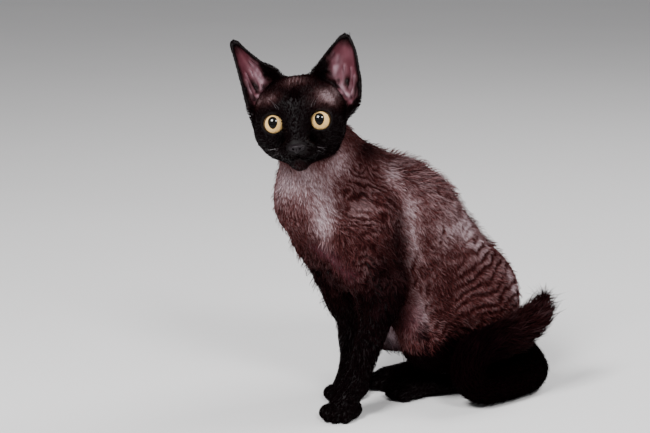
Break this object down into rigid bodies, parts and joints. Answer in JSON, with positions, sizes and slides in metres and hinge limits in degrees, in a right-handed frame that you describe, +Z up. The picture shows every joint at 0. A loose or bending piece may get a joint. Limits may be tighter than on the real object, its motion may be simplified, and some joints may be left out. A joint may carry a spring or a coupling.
{
  "type": "devon rex cat model",
  "caption": "Life-size still model of a young, slender, large-eared rex cat with a waved coat, sitting with its head turned and its tail folded on the floor.",
  "frame": {"origin": "on the floor, at the middle of the cat's outline seen from above", "axes": "+Z up, the hindquarters point back along +Y, the cat's left side is +X"},
  "size_m": [0.156, 0.2812, 0.3269],
  "materials": {
    "coat": "short waved rex coat, brown-grey smoke with a silver sheen",
    "dark_coat": "short near-black fur with a warm brown tint",
    "nose_leather": "matt mauve-grey nose leather",
    "eye": "glossy eyeball with a pale gold iris and a dark pupil"
  },
  "bodies": {
    "root": {"head": "dark_coat", "lower_jaw": "dark_coat", "nose": "nose_leather", "eye_left": "eye", "eye_right": "eye", "ear_left": "dark_coat", "ear_right": "dark_coat", "neck": "coat", "chest": "coat", "belly": "coat", "rump": "coat", "foreleg_left_upper": "coat", "foreleg_left_lower": "dark_coat", "forepaw_left": "dark_coat", "thigh_left": "coat", "hindfoot_left": "dark_coat", "foreleg_right_upper": "coat", "foreleg_right_lower": "dark_coat", "forepaw_right": "dark_coat", "thigh_right": "coat", "hindfoot_right": "dark_coat", "tail_base": "dark_coat", "tail_middle": "dark_coat", "tail_bend": "dark_coat", "tail_tip": "dark_coat"}
  },
  "joints": []
}
